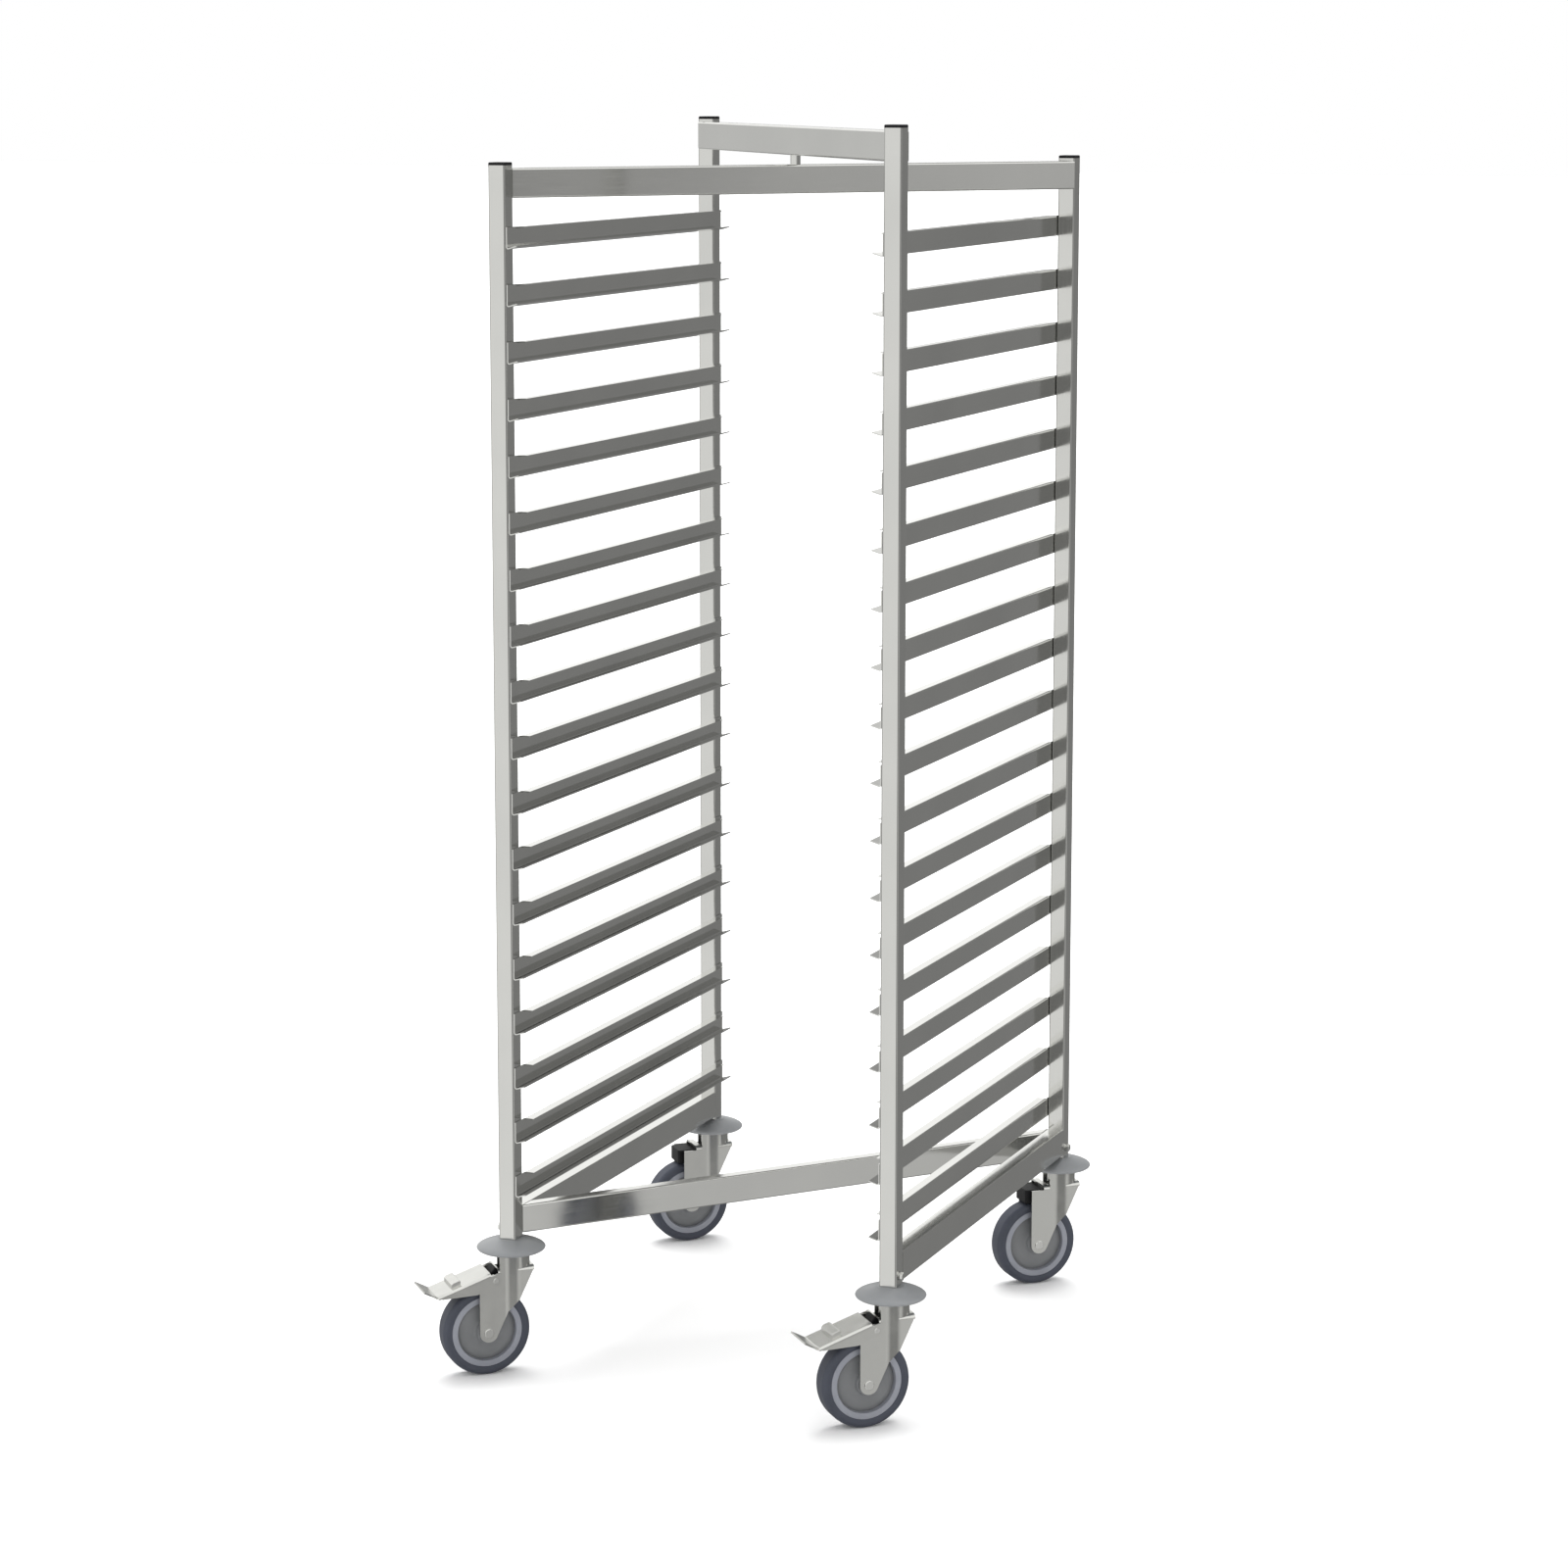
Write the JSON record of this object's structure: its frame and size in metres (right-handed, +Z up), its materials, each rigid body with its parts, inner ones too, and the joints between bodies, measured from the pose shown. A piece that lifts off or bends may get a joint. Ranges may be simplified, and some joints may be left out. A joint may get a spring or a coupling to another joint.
{
  "type": "sheet pan rack",
  "caption": "Tall nestable mobile rack with square posts, paired runners for sheet pans, crossed top rails, a Z-shaped base frame and swivel casters with bumpers.",
  "frame": {"origin": "on the floor, at the centre of the footprint over the casters and brake pedals", "axes": "+Z up, -Y towards the front of the rack, +X towards its right side"},
  "size_m": [0.7318, 0.854, 1.725],
  "materials": {
    "stainless_steel": "satin stainless steel tube and sheet",
    "pressed_steel": "bright pressed stainless steel",
    "grey_plastic": "matte mid grey plastic",
    "wheel_rubber": "dark blue-grey solid rubber tread on a grey plastic wheel"
  },
  "bodies": {
    "frame": {"front_left_post": "stainless_steel", "front_right_post": "stainless_steel", "back_left_post": "stainless_steel", "back_right_post": "stainless_steel", "left_bottom_rail": "stainless_steel", "right_bottom_rail": "stainless_steel", "bottom_diagonal_rail": "stainless_steel", "lower_top_rail": "stainless_steel", "upper_top_rail": "stainless_steel", "top_rail_spacer": "stainless_steel", "left_runner_01": "stainless_steel", "right_runner_01": "stainless_steel", "left_runner_02": "stainless_steel", "right_runner_02": "stainless_steel", "left_runner_03": "stainless_steel", "right_runner_03": "stainless_steel", "left_runner_04": "stainless_steel", "right_runner_04": "stainless_steel", "left_runner_05": "stainless_steel", "right_runner_05": "stainless_steel", "left_runner_06": "stainless_steel", "right_runner_06": "stainless_steel", "left_runner_07": "stainless_steel", "right_runner_07": "stainless_steel", "left_runner_08": "stainless_steel", "right_runner_08": "stainless_steel", "left_runner_09": "stainless_steel", "right_runner_09": "stainless_steel", "left_runner_10": "stainless_steel", "right_runner_10": "stainless_steel", "left_runner_11": "stainless_steel", "right_runner_11": "stainless_steel", "left_runner_12": "stainless_steel", "right_runner_12": "stainless_steel", "left_runner_13": "stainless_steel", "right_runner_13": "stainless_steel", "left_runner_14": "stainless_steel", "right_runner_14": "stainless_steel", "left_runner_15": "stainless_steel", "right_runner_15": "stainless_steel", "left_runner_16": "stainless_steel", "right_runner_16": "stainless_steel", "left_runner_17": "stainless_steel", "right_runner_17": "stainless_steel", "left_runner_18": "stainless_steel", "right_runner_18": "stainless_steel", "front_left_bumper": "grey_plastic", "front_right_bumper": "grey_plastic", "back_left_bumper": "grey_plastic", "back_right_bumper": "grey_plastic"},
    "front_left_swivel": {"front_left_fork": "pressed_steel"},
    "front_left_wheel_body": {"front_left_wheel": "wheel_rubber"},
    "front_left_brake": {"front_left_brake_pedal": "pressed_steel"},
    "front_right_swivel": {"front_right_fork": "pressed_steel"},
    "front_right_wheel_body": {"front_right_wheel": "wheel_rubber"},
    "front_right_brake": {"front_right_brake_pedal": "pressed_steel"},
    "back_left_swivel": {"back_left_fork": "pressed_steel"},
    "back_left_wheel_body": {"back_left_wheel": "wheel_rubber"},
    "back_right_swivel": {"back_right_fork": "pressed_steel"},
    "back_right_wheel_body": {"back_right_wheel": "wheel_rubber"}
  },
  "joints": [
    {"name": "front_left_swivel_turn", "type": "hinge", "parent": "frame", "child": "front_left_swivel", "pos_m": [-0.24913, -0.31597, 0.16], "axis": [0, 0, 1], "continuous": true},
    {"name": "front_left_wheel_spin", "type": "hinge", "parent": "front_left_swivel", "child": "front_left_wheel_body", "pos_m": [-0.27848, -0.34315, 0.0625], "axis": [0.6794, -0.7337, 0], "continuous": true},
    {"name": "front_left_brake_press", "type": "hinge", "parent": "front_left_swivel", "child": "front_left_brake", "pos_m": [-0.27114, -0.33636, 0.138], "axis": [0.6794, -0.7337, 0], "range_deg": [0, 12]},
    {"name": "front_right_swivel_turn", "type": "hinge", "parent": "frame", "child": "front_right_swivel", "pos_m": [0.31787, -0.31597, 0.16], "axis": [0, 0, 1], "continuous": true},
    {"name": "front_right_wheel_spin", "type": "hinge", "parent": "front_right_swivel", "child": "front_right_wheel_body", "pos_m": [0.28852, -0.34315, 0.0625], "axis": [0.6794, -0.7337, 0], "continuous": true},
    {"name": "front_right_brake_press", "type": "hinge", "parent": "front_right_swivel", "child": "front_right_brake", "pos_m": [0.29586, -0.33636, 0.138], "axis": [0.6794, -0.7337, 0], "range_deg": [0, 12]},
    {"name": "back_left_swivel_turn", "type": "hinge", "parent": "frame", "child": "back_left_swivel", "pos_m": [-0.24913, 0.37903, 0.16], "axis": [0, 0, 1], "continuous": true},
    {"name": "back_left_wheel_spin", "type": "hinge", "parent": "back_left_swivel", "child": "back_left_wheel_body", "pos_m": [-0.27848, 0.35185, 0.0625], "axis": [0.6794, -0.7337, 0], "continuous": true},
    {"name": "back_right_swivel_turn", "type": "hinge", "parent": "frame", "child": "back_right_swivel", "pos_m": [0.31787, 0.37903, 0.16], "axis": [0, 0, 1], "continuous": true},
    {"name": "back_right_wheel_spin", "type": "hinge", "parent": "back_right_swivel", "child": "back_right_wheel_body", "pos_m": [0.28852, 0.35185, 0.0625], "axis": [0.6794, -0.7337, 0], "continuous": true}
  ]
}
